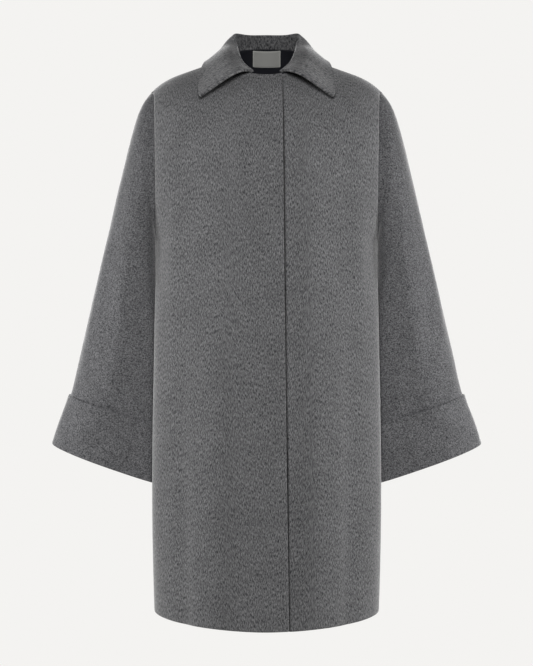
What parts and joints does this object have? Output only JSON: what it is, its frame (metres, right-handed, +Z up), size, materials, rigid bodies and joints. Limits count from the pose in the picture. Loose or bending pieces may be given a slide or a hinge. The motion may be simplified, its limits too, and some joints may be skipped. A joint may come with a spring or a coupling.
{
  "type": "cashmere coat",
  "caption": "Knee-length straight-cut cashmere coat with a pointed collar, concealed front and wide sleeves with turned-back cuffs, filled out as worn.",
  "frame": {"origin": "midway between the two high points of the shoulders, where the wearer's shoulders carry the coat", "axes": "+Z up, -Y the way the wearer faces, +X to the wearer's left"},
  "size_m": [0.7664, 0.3097, 1.0203],
  "materials": {
    "cashmere_cloth": "matte, napped",
    "lining_cloth": "satin",
    "label_cloth": "matte, woven"
  },
  "bodies": {
    "root": {"front_right": "cashmere_cloth", "front_left": "cashmere_cloth", "back": "cashmere_cloth", "sleeve_right": "cashmere_cloth", "sleeve_left": "cashmere_cloth", "cuff_right": "cashmere_cloth", "cuff_left": "cashmere_cloth", "collar": "cashmere_cloth", "back_neck_lining": "lining_cloth", "neck_label": "label_cloth"}
  },
  "joints": []
}
